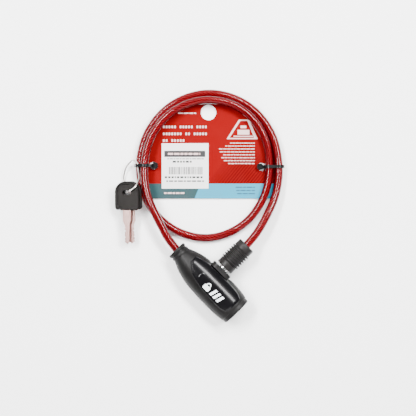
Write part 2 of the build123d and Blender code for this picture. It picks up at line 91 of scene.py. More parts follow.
def smooth(edge0: float, edge1: float, x: Array) -> Array:
    """The smooth step: 3t squared less 2t cubed, with t running from one edge to the other."""
    t = np.clip((x - edge0) / (edge1 - edge0), 0.0, 1.0)
    return t * t * (3.0 - 2.0 * t)


# ---------------------------------------------------------------- materials
class Socket(Enum):
    """The kinds of socket that a shader group shows."""

    COLOUR = "NodeSocketColor"
    VALUE = "NodeSocketFloat"
    VECTOR = "NodeSocketVector"


class Graph:
    """A node tree and the few calls that fill it."""

    def __init__(self, tree: bpy.types.NodeTree) -> None:
        """Keeps the tree.

        Args:
            tree: the material's or group's node tree.
        """
        self.tree = tree

    def add(self, kind: str, **settings: object) -> bpy.types.Node:
        """Adds a node.

        Args:
            kind: the node's type without its ShaderNode prefix.
            settings: attributes to set on it.
        Returns:
            The new node.
        """
        node = self.tree.nodes.new("ShaderNode" + kind)
        for name, value in settings.items():
            setattr(node, name, value)
        return node

    def link(self, source: object, target: object) -> None:
        """Joins two sockets."""
        self.tree.links.new(source, target)

    def feed(self, socket: bpy.types.NodeSocket, value: object) -> None:
        """Gives a socket a number, a colour or another socket."""
        if isinstance(value, bpy.types.NodeSocket):
            self.link(value, socket)
        elif isinstance(value, tuple) and socket.type == "RGBA":
            socket.default_value = (*value, 1.0)
        else:
            socket.default_value = value

    def math(self, operation: str, a: object, b: object = 0.0, c: object = 0.0) -> object:
        """One arithmetic step on values."""
        node = self.add("Math", operation=operation)
        for socket, value in zip(node.inputs, (a, b, c)):
            self.feed(socket, value)
        return node.outputs[0]

    def mix(self, factor: object, a: object, b: object) -> object:
        """A colour between a and b."""
        node = self.add("Mix", data_type="RGBA")
        self.feed(node.inputs[0], factor)
        self.feed(node.inputs[6], a)
        self.feed(node.inputs[7], b)
        return node.outputs[2]

    def ramp(self, value: object, low: float, high: float, out0: float, out1: float) -> object:
        """A value mapped from one range to another, and held at its ends."""
        node = self.add("MapRange")
        for number, item in enumerate((value, low, high, out0, out1)):
            self.feed(node.inputs[number], item)
        return node.outputs[0]

    def noise(self, vector: object, scale: float, detail: float = 3.0) -> object:
        """Cloudy noise, as its value."""
        node = self.add("TexNoise")
        self.feed(node.inputs["Vector"], vector)
        node.inputs["Scale"].default_value = scale
        node.inputs["Detail"].default_value = detail
        return node.outputs["Fac"]


def new_material(name: str) -> tuple[bpy.types.Material, Graph, bpy.types.Node]:
    """A new material, with its graph and its Principled shader."""
    material = bpy.data.materials.new(name)
    material.use_nodes = True
    return material, Graph(material.node_tree), material.node_tree.nodes["Principled BSDF"]


def moulded_grain_group() -> bpy.types.NodeTree:
    """The grain of a moulded or worn surface, shared by every finish.

    It mixes a colour towards a worn one where cloudy noise is high and on raised edges, varies the
    roughness by a share of itself, and bumps the normal with a fine grain.
    Returns:
        The group, with Colour, Worn, Roughness, Scale, Grain, Wear as inputs.
    """
    tree = bpy.data.node_groups.new("moulded_grain", "ShaderNodeTree")
    rows = (("Colour", Socket.COLOUR, None), ("Worn", Socket.COLOUR, None), ("Roughness", Socket.VALUE, 0.4),
            ("Scale", Socket.VALUE, 900.0), ("Grain", Socket.VALUE, 0.1), ("Wear", Socket.VALUE, 0.2))
    for name, kind, default in rows:
        socket = tree.interface.new_socket(name, in_out="INPUT", socket_type=kind.value)
        if default is not None:
            socket.default_value = default
    for name, kind in (("Colour", Socket.COLOUR), ("Roughness", Socket.VALUE), ("Normal", Socket.VECTOR)):
        tree.interface.new_socket(name, in_out="OUTPUT", socket_type=kind.value)
    g = Graph(tree)
    start = tree.nodes.new("NodeGroupInput")
    end = tree.nodes.new("NodeGroupOutput")
    place = g.add("TexCoord").outputs["Object"]
    broad = g.noise(place, 70.0, 4.0)
    fine = g.add("TexNoise")
    g.link(place, fine.inputs["Vector"])
    g.link(start.outputs["Scale"], fine.inputs["Scale"])
    fine.inputs["Detail"].default_value = 4.0
    pointed = g.add("NewGeometry").outputs["Pointiness"]
    edge = g.ramp(pointed, 0.52, 0.6, 0.0, 1.0)
    cloud = g.ramp(broad, 0.42, 0.75, 0.0, 0.55)
    worn = g.math("MULTIPLY", g.math("ADD", edge, cloud), start.outputs["Wear"])
    worn = g.math("MINIMUM", worn, 1.0)
    g.link(g.mix(worn, start.outputs["Colour"], start.outputs["Worn"]), end.inputs["Colour"])
    spread = g.ramp(fine.outputs["Fac"], 0.3, 0.7, 0.9, 1.1)
    uneven = g.ramp(broad, 0.3, 0.7, 0.88, 1.14)
    rough = g.math("MULTIPLY", g.math("MULTIPLY", start.outputs["Roughness"], spread), uneven)
    g.link(rough, end.inputs["Roughness"])
    bump = g.add("Bump")
    bump.inputs["Distance"].default_value = 0.00008
    g.link(start.outputs["Grain"], bump.inputs["Strength"])
    g.link(fine.outputs["Fac"], bump.inputs["Height"])
    g.link(bump.outputs[0], end.inputs["Normal"])
    return tree


def add_grain(g: Graph, shader: bpy.types.Node, group: bpy.types.NodeTree, **inputs: object) -> None:
    """Gives a shader its colour, roughness and normal by way of the grain group.

    Args:
        g: the material's graph.
        shader: its Principled shader.
        group: the shared grain group.
        inputs: numbers, colours or sockets for the group's inputs, by name.
    """
    grain = g.add("Group", node_tree=group)
    for name, value in inputs.items():
        g.feed(grain.inputs[name], value)
    for output, target in (("Colour", "Base Color"), ("Roughness", "Roughness"), ("Normal", "Normal")):
        g.link(grain.outputs[output], shader.inputs[target])


@dataclass(frozen=True)
class Finish:
    """A solid finish: a colour, its worn colour, and how it shines."""

    name: str
    colour: Colour
    worn: Colour
    roughness: float = 0.4
    scale: float = 1600.0
    grain: float = 0.25
    wear: float = 0.3
    metallic: float = 0.0
    coat: float = 0.0
    specular: float = 0.5

    def make(self, group: bpy.types.NodeTree) -> bpy.types.Material:
        """Builds the material.

        Args:
            group: the shared grain group.
        Returns:
            The finished material.
        """
        material, g, shader = new_material(self.name)
        add_grain(g, shader, group, Colour=self.colour, Worn=self.worn, Roughness=self.roughness,
                  Scale=self.scale, Grain=self.grain, Wear=self.wear)
        shader.inputs["Metallic"].default_value = self.metallic
        shader.inputs["Coat Weight"].default_value = self.coat
        shader.inputs["Coat Roughness"].default_value = 0.08
        shader.inputs["Specular IOR Level"].default_value = self.specular
        material.diffuse_color = (*self.colour, 1.0)
        return material


FINISHES = (
    Finish("grained_black_side", (0.0045, 0.0042, 0.0042), (0.013, 0.0122, 0.0118), 0.44, 1300, 0.5, 0.5,
           specular=0.13),
    Finish("gloss_black_panel", (0.002, 0.0019, 0.0024), (0.006, 0.0055, 0.006), 0.22, 1700, 0.03, 0.3,
           coat=0.06, specular=0.13),
    Finish("matte_black_cap", (0.003, 0.0028, 0.0029), (0.01, 0.0095, 0.009), 0.44, 1300, 0.4, 0.5,
           specular=0.14),
    Finish("charcoal_sleeve", (0.007, 0.006, 0.0059), (0.022, 0.0195, 0.018), 0.46, 1200, 0.6, 0.5,
           specular=0.15),
    Finish("wire_rope", (0.42, 0.36, 0.35), (0.20, 0.16, 0.16), 0.30, 2600, 0.35, 0.5, metallic=0.5),
    # dark core colour: painted shade seen through the gaps between the strands
    Finish("rope_core_painted_shade", (0.05, 0.012, 0.014), (0.02, 0.01, 0.01), 0.6, 2600, 0.3, 0.5, specular=0.1),
    Finish("plated_steel", (0.62, 0.62, 0.64), (0.40, 0.39, 0.38), 0.24, 2200, 0.12, 0.5, metallic=1.0),
    Finish("dull_zinc", (0.40, 0.40, 0.41), (0.25, 0.25, 0.25), 0.42, 1400, 0.5, 0.6, metallic=0.9),
    Finish("cylinder_brass", (0.62, 0.55, 0.38), (0.36, 0.30, 0.18), 0.28, 1800, 0.2, 0.5, metallic=1.0),
    Finish("key_nickel", (0.56, 0.37, 0.34), (0.28, 0.16, 0.14), 0.34, 1900, 0.2, 0.6, metallic=1.0),
    Finish("ring_wire", (0.46, 0.42, 0.40), (0.24, 0.21, 0.20), 0.30, 1900, 0.15, 0.4, metallic=1.0),
    Finish("key_head_black", (0.0032, 0.0027, 0.0026), (0.012, 0.0105, 0.0095), 0.42, 1300, 0.5, 0.5,
           specular=0.09),
    Finish("black_nylon", (0.0015, 0.0015, 0.0018), (0.006, 0.006, 0.0065), 0.28, 1500, 0.1, 0.3,
           specular=0.16),
    Finish("sticker_paper", (0.72, 0.71, 0.70), (0.62, 0.61, 0.60), 0.6, 2400, 0.35, 0.4, specular=0.2),
    Finish("print_white", (0.62, 0.50, 0.49), (0.55, 0.34, 0.32), 0.45, 2000, 0.1, 0.5, specular=0.2),
    Finish("print_black", (0.006, 0.006, 0.007), (0.03, 0.03, 0.03), 0.5, 2000, 0.1, 0.5, specular=0.2),
    Finish("print_navy", (0.006, 0.03, 0.06), (0.02, 0.10, 0.16), 0.45, 2000, 0.1, 0.5, specular=0.2),
    Finish("mark_white", (0.84, 0.88, 0.90), (0.60, 0.63, 0.64), 0.35, 2000, 0.05, 0.4, specular=0.3),
)


def red_vinyl_material(group: bpy.types.NodeTree) -> bpy.types.Material:
    """Glossy red vinyl that shows the wire inside: a clear red tint under a red skin.

    The skin covers more where the surface turns away, so the tube's sides are deeper red than its middle.
    Args:
        group: the shared grain group.
    Returns:
        The finished material.
    """
    material, g, shader = new_material("red_vinyl")
    add_grain(g, shader, group, Colour=(0.05, 0.0001, 0.002), Worn=(0.13, 0.002, 0.006), Roughness=0.13,
              Scale=500.0, Grain=0.0, Wear=0.2)
    shader.inputs["Coat Weight"].default_value = 0.4
    shader.inputs["Coat Roughness"].default_value = 0.1
    shader.inputs["Specular IOR Level"].default_value = 0.42
    clear = g.add("BsdfTransparent")
    clear.inputs[0].default_value = (0.72, 0.02, 0.07, 1.0)
    facing = g.add("LayerWeight")
    facing.inputs["Blend"].default_value = 0.4
    cover = g.ramp(facing.outputs["Facing"], 0.1, 0.8, 0.34, 0.88)
    both = g.add("MixShader")
    g.link(cover, both.inputs[0])
    g.link(clear.outputs[0], both.inputs[1])
    g.link(shader.outputs[0], both.inputs[2])
    g.link(both.outputs[0], material.node_tree.nodes["Material Output"].inputs["Surface"])
    material.diffuse_color = (0.4, 0.01, 0.02, 1.0)
    return material


def printed_card_material(group: bpy.types.NodeTree) -> bpy.types.Material:
    """The card's print: two reds split on a slant, fine hatching, and a teal and blue band.

    Every edge is a straight line in the card's own plane, drawn as a step of a distance from it. The
    card's other sides are bare board.
    Args:
        group: the shared grain group.
    Returns:
        The finished material.
    """
    material, g, shader = new_material("printed_card")
    parts = g.add("SeparateXYZ")
    g.link(g.add("TexCoord").outputs["Object"], parts.inputs[0])
    x = g.math("MULTIPLY", g.math("SUBTRACT", parts.outputs[0], float(COIL[0])), 1000.0)
    y = g.math("MULTIPLY", g.math("SUBTRACT", parts.outputs[1], float(COIL[1])), 1000.0)
    above_band = g.math("ADD", y, 14.0)
    slant = g.math("SUBTRACT", x, g.math("MULTIPLY", above_band, 0.78))
    darker = g.ramp(slant, -2.2, -1.8, 0.0, 1.0)
    stripes = g.math("SINE", g.math("MULTIPLY", g.math("SUBTRACT", x, g.math("MULTIPLY", y, 0.8)), 2.5))
    low_right = g.math("MULTIPLY", g.ramp(slant, 0.0, 14.0, 0.0, 0.85), g.ramp(y, 14.0, 0.0, 0.0, 1.0))
    hatch = g.math("MULTIPLY", g.ramp(stripes, -0.2, 0.4, 0.0, 1.0), low_right)
    red = g.mix(darker, (0.135, 0.0004, 0.001), (0.115, 0.0004, 0.001))
    red = g.mix(hatch, red, (0.045, 0.0003, 0.0008))
    band_edge = g.math("ADD", x, g.math("MULTIPLY", above_band, -0.42))
    blue = g.mix(g.ramp(band_edge, -7.3, -6.9, 0.0, 1.0), (0.0, 0.055, 0.060), (0.0, 0.24, 0.36))
    face = g.mix(g.ramp(above_band, -0.1, 0.1, 1.0, 0.0), red, blue)
    up = g.add("SeparateXYZ")
    g.link(g.add("NewGeometry").outputs["Normal"], up.inputs[0])
    face = g.mix(g.ramp(up.outputs[2], 0.4, 0.6, 1.0, 0.0), face, (0.74, 0.72, 0.69))
    add_grain(g, shader, group, Colour=face, Worn=g.mix(0.3, face, (0.2, 0.004, 0.004)), Roughness=0.32,
              Scale=2600.0, Grain=0.08, Wear=0.35)
    shader.inputs["Specular IOR Level"].default_value = 0.04
    return material


class Paintbox:
    """Every material of the object, by name."""

    def __init__(self) -> None:
        """Builds the grain group and each finish."""
        self.group = moulded_grain_group()
        self.by_name = {finish.name: finish.make(self.group) for finish in FINISHES}
        self.by_name["printed_card"] = printed_card_material(self.group)
        self.by_name["red_vinyl"] = red_vinyl_material(self.group)

    def dress(self, piece: bpy.types.Object, name: str) -> None:
        """Gives a piece or a CAD node one material.

        Args:
            piece: the object to dress.
            name: the material's name.
        """
        if not piece.data.materials:
            piece.data.materials.append(self.by_name[name])
        for number in range(len(piece.data.materials)):
            piece.data.materials[number] = self.by_name[name]


# ---------------------------------------------------------------- meshes
def new_piece(name: str, points: Array, faces: Array | list[list[int]],
              is_smooth: bool = True) -> bpy.types.Object:
    """Makes an object at the origin from points in metres and faces.

    Args:
        name: the piece's name.
        points: an array whose last axis is x, y and z.
        faces: corner numbers of each face.
        is_smooth: whether its faces are shaded smooth.
    Returns:
        The new object, in the scene.
    """
    mesh = bpy.data.meshes.new(name)
    mesh.from_pydata(points.reshape(-1, 3), [], faces.tolist() if isinstance(faces, Array) else faces)
    mesh.polygons.foreach_set("use_smooth", np.full(len(mesh.polygons), is_smooth))
    mesh.update()
    piece = bpy.data.objects.new(name, mesh)
    bpy.context.scene.collection.objects.link(piece)
    return piece


def grid_faces(rows: int, columns: int, is_ring: bool) -> Array:
    """The four-cornered faces of a grid of points, whose rows may each close into a ring.

    Args:
        rows: how many rows.
        columns: points in a row.
        is_ring: whether a row's last point joins its first.
    Returns:
        An array of corner numbers.
    """
    last = columns if is_ring else columns - 1
    i, j = np.meshgrid(np.arange(rows - 1), np.arange(last), indexing="ij")
    k = (j + 1) % columns
    quads = np.stack([i * columns + j, i * columns + k, (i + 1) * columns + k, (i + 1) * columns + j], -1)
    return quads.reshape(-1, 4)


def path_frames(path: Array) -> tuple[Array, Array, Array]:
    """Directions along, above and beside a path that never points straight up.

    Along is the path's gradient; above is up less its share along; beside is along crossed with above.
    Args:
        path: an n by 3 array.
    Returns:
        The three arrays of unit directions.
    """
    along = np.gradient(path, axis=0)
    along /= np.linalg.norm(along, axis=1, keepdims=True)
    up = np.array([0.0, 0.0, 1.0])
    above = up - (along @ up)[:, None] * along
    above /= np.linalg.norm(above, axis=1, keepdims=True)
    return along, above, np.cross(along, above)


def rod(path: Array, radius: float, sides: int, first: int = 0) -> tuple[Array, list[list[int]]]:
    """A closed round rod: at each path point a circle of cos and sin about the path.

    Args:
        path: its middle line in metres.
        radius: its radius in metres.
        sides: points round it.
        first: the number of its first point.
    Returns:
        Its points, and its faces with the two that close its ends at the end.
    """
    _, above, beside = path_frames(path)
    turn = np.linspace(0, 2 * np.pi, sides, endpoint=False)
    circle = np.cos(turn)[None, :, None] * above[:, None] + np.sin(turn)[None, :, None] * beside[:, None]
    points = (path[:, None] + radius * circle).reshape(-1, 3)
    near = first + np.arange(sides)
    far = near + len(points) - sides
    wall = first + grid_faces(len(path), sides, True)[:, ::-1]
    return points, [*wall.tolist(), near.tolist(), far[::-1].tolist()]


def turned(name: str, profile: Sequence[tuple[float, float]], place: Callable[[Array], Array],
           sides: int = 96) -> bpy.types.Object:
    """A turned shape: each profile point's radius swept round the axis by cos and sin.

    Args:
        name: the piece's name.
        profile: (distance along, radius) in mm, as a closed loop, or from pole to pole.
        place: puts points of (along, across, above) where they belong.
        sides: points round it.
    Returns:
        The turned piece.
    """
    rows = np.array(profile, float)
    turn = np.linspace(0, 2 * np.pi, sides, endpoint=False)
    along = np.repeat(rows[:, :1], sides, axis=1)
    points = np.stack([along, rows[:, 1:] * np.cos(turn), rows[:, 1:] * np.sin(turn)], -1)
    return new_piece(name, place(points), grid_faces(len(rows), sides, True))


def recalculate(piece: bpy.types.Object) -> None:
    """Merges doubled points and turns every face outwards."""
    work = bmesh.new()
    work.from_mesh(piece.data)
    bmesh.ops.remove_doubles(work, verts=work.verts, dist=1e-7)
    bmesh.ops.recalc_face_normals(work, faces=work.faces)
    work.to_mesh(piece.data)
    work.free()


def bevelled(piece: bpy.types.Object, width: float) -> None:
    """Rounds a piece's sharp edges with a Bevel modifier, in mm."""
    bevel = piece.modifiers.new("bevel", "BEVEL")
    bevel.width = width * MM
    bevel.segments = 2
    bevel.limit_method = "ANGLE"
    bevel.angle_limit = np.radians(40)


def walled(piece: bpy.types.Object, thickness: float, offset: float = -1.0) -> None:
    """Gives a skin a wall with a Solidify modifier, in mm: inwards at -1, to both sides at 0."""
    wall = piece.modifiers.new("wall", "SOLIDIFY")
    wall.thickness = thickness * MM
    wall.offset = offset


# ---------------------------------------------------------------- cable
@dataclass
class Cable:
    """The twisted wire rope in its see-through jacket, lying in its coil.

    The route is clockwise from the lock: (turn in degrees from the top, radius, height of its middle)
    in mm. Its ends are places (along, across) on the lock's axis.
    """

    radius: float = 3.2
    strand_radius: float = 0.72
    strand_ring: float = 1.95
    strand_count: int = 6
    core_radius: float = 1.35
    lay_length: float = 20.0
    jacket_sides: int = 28
    strand_sides: int = 9
    strand_step: float = 1.1
    core_step: float = 3.0
    length: float = 0.668
    inner_turn: tuple[tuple[float, float, float], ...] = (
        (221.5, 60.2, 14.6), (245.0, 55.6, 12.6), (271.0, 53.0, 10.6), (300.0, 53.6, 10.2),
        (330.0, 54.5, 9.9), (360.0, 54.8, 9.5), (390.0, 54.2, 8.8), (420.0, 51.6, 7.2),
        (450.0, 49.2, 5.2), (480.0, 51.6, 5.7), (510.0, 56.0, 3.4), (540.0, 59.8, 3.25),
        (570.0, 60.4, 3.25), (600.0, 59.4, 5.5),
    )
    outer_turn: tuple[tuple[float, float, float], ...] = (
        (630.0, 57.6, 5.1), (660.0, 58.1, 5.1), (690.0, 59.6, 5.1), (720.0, 60.4, 5.1),
        (750.0, 59.6, 5.1), (780.0, 57.9, 5.1), (808.0, 56.6, 5.1), (831.0, 58.2, 6.0),
        (849.0, 60.4, 9.6),
    )
    ends: tuple[tuple[float, float], ...] = ((9.0, 0.0), (-6.4, 0.0), (PIN_AT, 51.4), (PIN_AT, 37.8))
    moved_whole: float = 12.0
    bend_reach: float = 85.0
    path: Array = field(default_factory=lambda: np.zeros((0, 3)))

    def route(self) -> Array:
        """The spline's control points in metres."""
        turn, radius, height = np.array(self.inner_turn + self.outer_turn).T
        turn = np.radians(turn)
        coil = COIL + np.stack([radius * np.sin(turn), radius * np.cos(turn), height], -1) * MM
        ends = from_lock(np.hstack([self.ends, np.zeros((len(self.ends), 1))]))
        return np.concatenate([ends[:2], coil, ends[2:]])

    def read_path(self) -> Array:
        """The points of the route's smooth spline, as Blender gives them."""
        control = self.route()
        data = bpy.data.curves.new("cable_route", "CURVE")
        data.dimensions = "3D"
        data.resolution_u = 28
        spline = data.splines.new("NURBS")
        spline.points.add(len(control) - 1)
        weights = np.ones((len(control), 1))
        spline.points.foreach_set("co", np.hstack([control, weights]).ravel())
        spline.order_u = 3
        spline.use_endpoint_u = True
        holder = bpy.data.objects.new("cable_route", data)
        bpy.context.scene.collection.objects.link(holder)
        bpy.context.view_layer.update()
        mesh = bpy.data.meshes.new_from_object(holder)
        points = np.zeros(len(mesh.vertices) * 3)
        mesh.vertices.foreach_get("co", points)
        bpy.data.objects.remove(holder)
        bpy.data.meshes.remove(mesh)
        return points.reshape(-1, 3)

    def even(self, step: float) -> Array:
        """The path again at even steps: each coordinate read off against the running length.

        Args:
            step: the distance between points in metres.
        Returns:
            The even points.
        """
        run = np.concatenate([[0.0], np.cumsum(np.linalg.norm(np.diff(self.path, axis=0), axis=1))])
        spots = np.linspace(0.0, run[-1], int(run[-1] / step) + 1)
        return np.stack([np.interp(spots, run, self.path[:, i]) for i in range(3)], -1)

    def strand_path(self, number: int) -> Array:
        """One strand: a helix about the path, its angle growing with the length gone."""
        line = self.even(self.strand_step * MM)
        _, above, beside = path_frames(line)
        run = np.arange(len(line)) * self.strand_step
        angle = 2 * np.pi * (run / self.lay_length + number / self.strand_count)
        side = np.cos(angle)[:, None] * above + np.sin(angle)[:, None] * beside
        return line + self.strand_ring * MM * side

    def follow_pin(self, piece: bpy.types.Object) -> None:
        """Bakes the piece's placing into its points and works out how much of the pin's pull each point of
        the last stretch would take; the share is not applied here.

        The share of the pull grows by the smooth step of the length left to the connector, because
        another turn lies beside this stretch and has to stay.
        Args:
            piece: the jacket or the rope.
        """
        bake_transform(piece)
        step, at_once = 2.0, 4000
        line = self.even(step * MM)
        count = len(piece.data.vertices)
        points = np.zeros(count * 3)
        piece.data.vertices.foreach_get("co", points)
        points = points.reshape(-1, 3)
        share = np.zeros(count)
        for low in range(0, count, at_once):
            block = points[low:low + at_once]
            nearest = np.argmin(((block[:, None] - line[None]) ** 2).sum(-1), axis=1)
            left = (len(line) - 1 - nearest) * step
            share[low:low + at_once] = 1.0 - smooth(self.moved_whole, self.bend_reach, left)

    def rope(self, paints: Paintbox) -> bpy.types.Object:
        """The strands laid round a core, all as one piece, in which the core has its own dark material:
        painted shade for the gaps between the strands.
        """
        lines = [(self.strand_path(number), self.strand_radius) for number in range(self.strand_count)]
        lines.append((self.even(self.core_step * MM), self.core_radius))
        points, faces, first = [], [], 0
        for line, radius in lines:
            rod_points, rod_faces = rod(line, radius * MM, self.strand_sides, first)
            points.append(rod_points)
            faces += rod_faces
            first += len(rod_points)
        rope = new_piece("wire_rope", np.concatenate(points), faces)
        paints.dress(rope, "wire_rope")
        # the core's dark material is painted shade for the gaps between the strands
        rope.data.materials.append(paints.by_name["rope_core_painted_shade"])
        is_core = np.arange(len(faces)) >= len(faces) - len(rod_faces)
        rope.data.polygons.foreach_set("material_index", is_core.astype(np.int32))
        return rope

    def build(self, paints: Paintbox, sleeve: bpy.types.Object) -> None:
        """Args:
            paints: the materials.
            sleeve: the connector's sleeve; not used.
        """
        self.path = self.read_path()
        jacket = new_piece("vinyl_jacket", *rod(self.path, self.radius * MM, self.jacket_sides))
        paints.dress(jacket, "red_vinyl")
        rope = self.rope(paints)
        self.follow_pin(jacket)
        self.follow_pin(rope)
        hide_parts("cable_jacket")
        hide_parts("cable_rope")
        LOG.info("cable built, %d points on its path", len(self.path))


# ---------------------------------------------------------------- lock housing
@dataclass
class Housing:
    """The two moulded halves, the raised panel over them and the small white mark."""

    stations: tuple[float, ...] = (6.0, 10.0, 15.0, 20.0, 27.0, 36.0, 45.0, 52.0, 58.0, 63.0, 66.0)
    half_widths: tuple[float, ...] = (7.6, 9.3, 11.2, 12.5, 13.6, 14.15, 14.3, 14.25, 14.05, 13.5, 12.9)
    half_heights: tuple[float, ...] = (7.5, 8.7, 10.0, 10.9, 11.7, 12.15, 12.3, 12.25, 12.05, 11.6, 11.2)
    seam_tuck: float = 0.35
    port_recess: float = 1.2
    port_reach: float = 10.5
    panel_rise: float = 0.45
    panel_sunk: float = 0.25
    dish_depth: float = 0.30
    sign_at: float = 38.4
    bars_at: float = 45.0
    bar_pitch: float = 3.7
    panel_low: tuple[tuple[float, float], ...] = (
        (13.5, 2.2), (16.0, 0.0), (19.0, -2.4), (23.0, -4.9), (28.0, -6.6), (34.0, -7.5), (42.0, -8.1),
        (50.0, -8.6), (56.0, -8.6), (60.0, -7.8), (63.0, -6.3), (65.0, -4.6))
    panel_high: tuple[tuple[float, float], ...] = (
        (13.5, 7.6), (16.0, 9.1), (19.0, 10.3), (23.0, 11.3), (28.0, 12.1), (36.0, 12.6), (50.0, 12.7),
        (56.0, 12.4), (60.0, 11.7), (63.0, 10.2), (65.0, 8.4))

    def sizes(self, u: Array) -> tuple[Array, Array]:
        """Half width and half height at u: cubic Hermite curves through the stations.

        Args:
            u: distances along the axis in mm.
        Returns:
            Two arrays of mm.
        """
        at = np.array(self.stations)
        found = []
        for values in (self.half_widths, self.half_heights):
            value = np.array(values)
            slope = np.gradient(value, at)
            i = np.clip(np.searchsorted(at, u) - 1, 0, len(at) - 2)
            span = at[i + 1] - at[i]
            t = np.clip((u - at[i]) / span, 0.0, 1.0)
            found.append((2 * t**3 - 3 * t**2 + 1) * value[i] + (t**3 - 2 * t**2 + t) * span * slope[i]
                         + (3 * t**2 - 2 * t**3) * value[i + 1] + (t**3 - t**2) * span * slope[i + 1])
        return found[0], found[1]

    def skin(self, u: Array, angle: Array, grow: Array | float = 0.0) -> Array:
        """Points of the oval skin: half width by cos and half height by sin, grown outwards."""
        w, h = self.sizes(u)
        return np.stack([u, (w + grow) * np.cos(angle), (h + grow) * np.sin(angle)], -1)

    def half(self, name: str, is_upper: bool) -> bpy.types.Object:
        """One half: a grid of lengths and angles, tucked in at the seam and sunk round the pin's port.

        Args:
            name: the piece's name.
            is_upper: the front half if true.
        Returns:
            The half's skin with a wall.
        """
        seam_gap = 0.004
        u, a = np.meshgrid(np.linspace(self.stations[0], self.stations[-1], 90),
                           np.linspace(seam_gap, np.pi - seam_gap, 96), indexing="ij")
        into_seam = 1.0 - smooth(0.0, 0.05, np.minimum(a, np.pi - a))
        port = np.exp(-(((u - PIN_AT) / self.port_reach) ** 6)) * (a < 0.6)
        grow = -self.seam_tuck * into_seam - self.port_recess * port * smooth(0.62, 0.52, a)
        points = self.skin(u, a if is_upper else -a, grow)
        faces = grid_faces(*u.shape, False)
        piece = new_piece(name, from_lock(points), faces if is_upper else faces[:, ::-1])
        walled(piece, 1.1)
        return piece

    def panel_rise_at(self, along: Array, across: Array) -> Array:
        """How far the panel stands out: flat, with a shallow dish for the mark and a small crescent."""
        dish = np.exp(-((((along - 45.5) / 13.0) ** 2 + ((across + 2.4) / 4.4) ** 2) ** 2))
        from_arc = np.hypot(along - 31.5, across) - 3.4
        crescent = np.exp(-((from_arc / 0.35) ** 2)) * smooth(29.6, 28.6, along)
        return self.panel_rise + self.dish_depth * (crescent - dish)

    def panel(self) -> bpy.types.Object:
        """The raised panel: across by along, standing proud with a rounded edge.

        Its two side edges are curves through a few points, and the rise falls off towards every edge
        as the smooth step of the distance to it.
        Returns:
            The panel's skin with a wall.
        """
        t, s = np.meshgrid(np.linspace(0.0, 1.0, 140), np.linspace(0.0, 1.0, 84), indexing="ij")
        start, end = self.panel_low[0][0], self.panel_low[-1][0]
        u = start + (end - start) * (0.5 - 0.5 * np.cos(np.pi * t)) ** 0.9
        low = np.interp(u, *np.array(self.panel_low).T)
        high = np.interp(u, *np.array(self.panel_high).T)
        v = low + (high - low) * s
        w, _ = self.sizes(u)
        edge = np.minimum(np.minimum(v - low, high - v), 0.6 * np.minimum(u - start, end - u))
        grow = (self.panel_rise_at(u, v) + self.panel_sunk) * smooth(0.0, 2.0, edge) - self.panel_sunk
        angle = np.arccos(np.clip(-v / w, -1.0, 1.0))
        points = self.skin(u, np.pi - angle, grow)
        piece = new_piece("raised_panel", from_lock(points), grid_faces(*u.shape, False)[:, ::-1])
        walled(piece, 0.5)
        return piece

    def on_panel(self, along: Array, across: Array, lift: float) -> Array:
        """Points laid on the panel at a lift in mm, from lengths along and across it."""
        w, h = self.sizes(along)
        grow = self.panel_rise_at(along, across) + lift
        angle = np.arccos(np.clip(across / w, -1.0, 1.0))
        return self.skin(along, angle, grow)

    def mark(self) -> bpy.types.Object:
        """A plain sign: a padlock of a rounded block and half a ring, then three slanted bars.

        The block is a square grid drawn in to the outline of a power curve, and each bar is a grid that
        leans with the distance across.
        Returns:
            The sign, a thin skin that follows the panel.
        """
        a, b = np.meshgrid(np.linspace(-1, 1, 25), np.linspace(-1, 1, 25), indexing="ij")
        size = (np.abs(a) ** 6 + np.abs(b) ** 6) ** (1 / 6)
        reach = np.maximum(np.abs(a), np.abs(b)) / np.maximum(size, 1e-9)
        turn, depth = np.meshgrid(np.linspace(0, np.pi, 30), np.linspace(0, 1, 5), indexing="ij")
        r = 1.35 + 0.7 * depth
        grids = [(self.sign_at + 3.0 * a * reach, -3.5 + 1.9 * b * reach),
                 (self.sign_at + r * np.cos(turn), -1.65 + 1.3 * r * np.sin(turn))]
        for number in range(3):
            grids.append((self.bars_at + self.bar_pitch * number + 1.1 * a + 0.8 * b, -2.3 + 3.1 * b))
        points, faces, first = [], [], 0
        for along, across in grids:
            points.append(self.on_panel(along, across, 0.03).reshape(-1, 3))
            faces.append(first + grid_faces(*along.shape, False))
            first += along.size
        piece = new_piece("padlock_sign", from_lock(np.concatenate(points)), np.concatenate(faces))
        recalculate(piece)
        walled(piece, 0.06)
        return piece

    def build(self, paints: Paintbox) -> None:
        """Makes and dresses every housing piece."""
        front = self.half("housing_front_skin", True)
        rear = self.half("housing_rear_skin", False)
        panel = self.panel()
        mark = self.mark()
        for piece, finish, slot in ((front, "grained_black_side", "housing_plastic"),
                                    (rear, "grained_black_side", "side_plastic"),
                                    (panel, "gloss_black_panel", "panel_plastic"),
                                    (mark, "mark_white", "panel_plastic")):
            paints.dress(piece, finish)
            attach(piece, ROOT)
            LOG.info("housing piece %s", piece.name)
        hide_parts("housing_front")
        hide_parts("housing_rear")
        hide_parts("front_panel")


